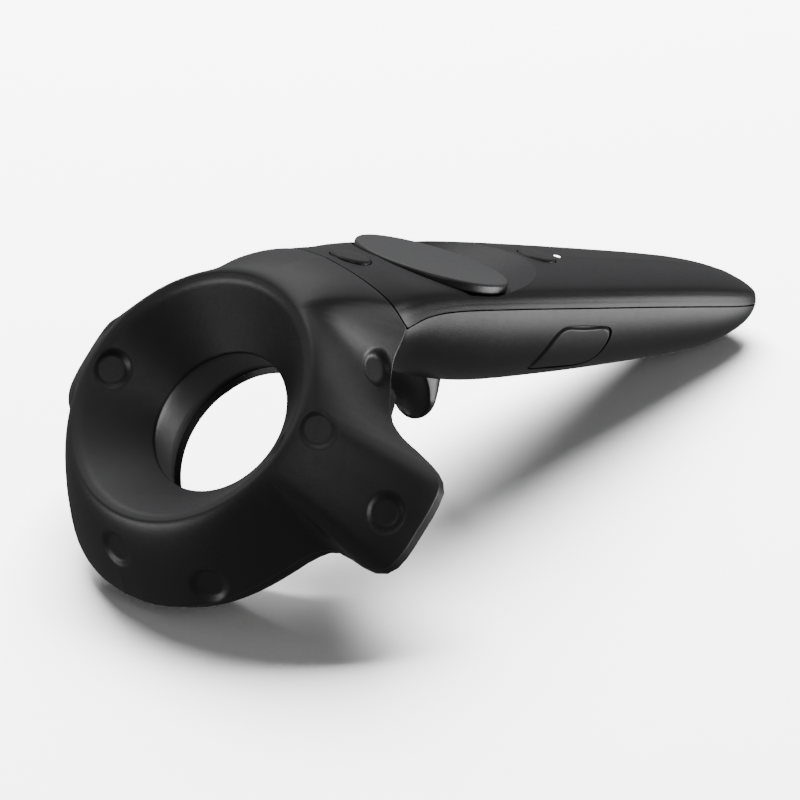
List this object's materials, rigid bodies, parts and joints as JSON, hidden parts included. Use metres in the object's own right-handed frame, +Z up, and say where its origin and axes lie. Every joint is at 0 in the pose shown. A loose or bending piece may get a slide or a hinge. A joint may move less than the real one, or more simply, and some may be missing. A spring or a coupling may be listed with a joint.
{
  "type": "vr motion controller",
  "caption": "Hand-held motion controller with a trackpad, trigger, grip buttons and a tilted tracking ring round a funnel-shaped opening.",
  "frame": {"origin": "bottom centre of the bounding box, with the controller lying on its ring and butt", "axes": "+Z up, +Y along the handle from the ring towards the butt, X across"},
  "size_m": [0.1176, 0.2208, 0.0735],
  "materials": {
    "shell_plastic": "fine-textured dark grey moulding",
    "trackpad_face": "satin, very fine grain",
    "button_plastic": "satin black",
    "trigger_plastic": "smooth black",
    "frame_plastic": "plain moulded grey",
    "switch_plastic": "plain black",
    "circuit": "green solder mask",
    "light_pipe": "clear white light guide",
    "cell_foil": "laminate pouch",
    "steel": "plain"
  },
  "bodies": {
    "case": {"head_front_cover": "shell_plastic", "head_rear_cover": "shell_plastic", "throat_collar": "shell_plastic", "head_frame": "frame_plastic", "front_sensor_flex": "circuit", "rear_sensor_flex": "circuit", "handle_top_cover": "shell_plastic", "handle_bottom_cover": "shell_plastic", "status_light_pipe": "light_pipe", "main_board": "circuit", "trackpad_board": "circuit", "trackpad_switch": "switch_plastic", "menu_switch": "switch_plastic", "system_switch": "switch_plastic", "left_grip_switch": "switch_plastic", "right_grip_switch": "switch_plastic", "trigger_axle": "steel", "trigger_spring": "steel", "trigger_bracket": "frame_plastic", "trigger_switch": "switch_plastic", "battery": "cell_foil", "battery_cradle": "frame_plastic", "vibration_motor": "steel", "charging_socket": "steel", "lanyard_bar": "steel", "case_screw_1": "steel", "case_screw_2": "steel", "case_screw_3": "steel", "case_screw_4": "steel"},
    "left_grip_button": {"left_grip_button": "button_plastic"},
    "menu_button": {"menu_button": "button_plastic"},
    "right_grip_button": {"right_grip_button": "button_plastic"},
    "system_button": {"system_button": "button_plastic"},
    "trackpad_cap": {"trackpad_cap": "trackpad_face"},
    "trigger": {"trigger": "trigger_plastic"}
  },
  "joints": [
    {"name": "trackpad_press", "type": "slide", "parent": "case", "child": "trackpad_cap", "axis": [0, -0.3567, -0.9342], "range_m": [0, 0.0004], "stiffness_N_per_m": 900, "springref_m": -0.0015},
    {"name": "menu_press", "type": "slide", "parent": "case", "child": "menu_button", "axis": [0, -0.3567, -0.9342], "range_m": [0, 0.0005], "stiffness_N_per_m": 500, "springref_m": -0.0016},
    {"name": "system_press", "type": "slide", "parent": "case", "child": "system_button", "axis": [0, -0.3567, -0.9342], "range_m": [0, 0.0005], "stiffness_N_per_m": 500, "springref_m": -0.0016},
    {"name": "left_grip_press", "type": "slide", "parent": "case", "child": "left_grip_button", "axis": [1, 0, 0], "range_m": [0, 0.0007], "stiffness_N_per_m": 700, "springref_m": -0.0016},
    {"name": "right_grip_press", "type": "slide", "parent": "case", "child": "right_grip_button", "axis": [-1, 0, 0], "range_m": [0, 0.0007], "stiffness_N_per_m": 700, "springref_m": -0.0016},
    {"name": "trigger_pull", "type": "hinge", "parent": "case", "child": "trigger", "pos_m": [0, -0.01606, 0.04336], "axis": [1, 0, 0], "range_deg": [0, 16], "stiffness_Nm_per_rad": 0.06, "springref_deg": -17.19}
  ]
}
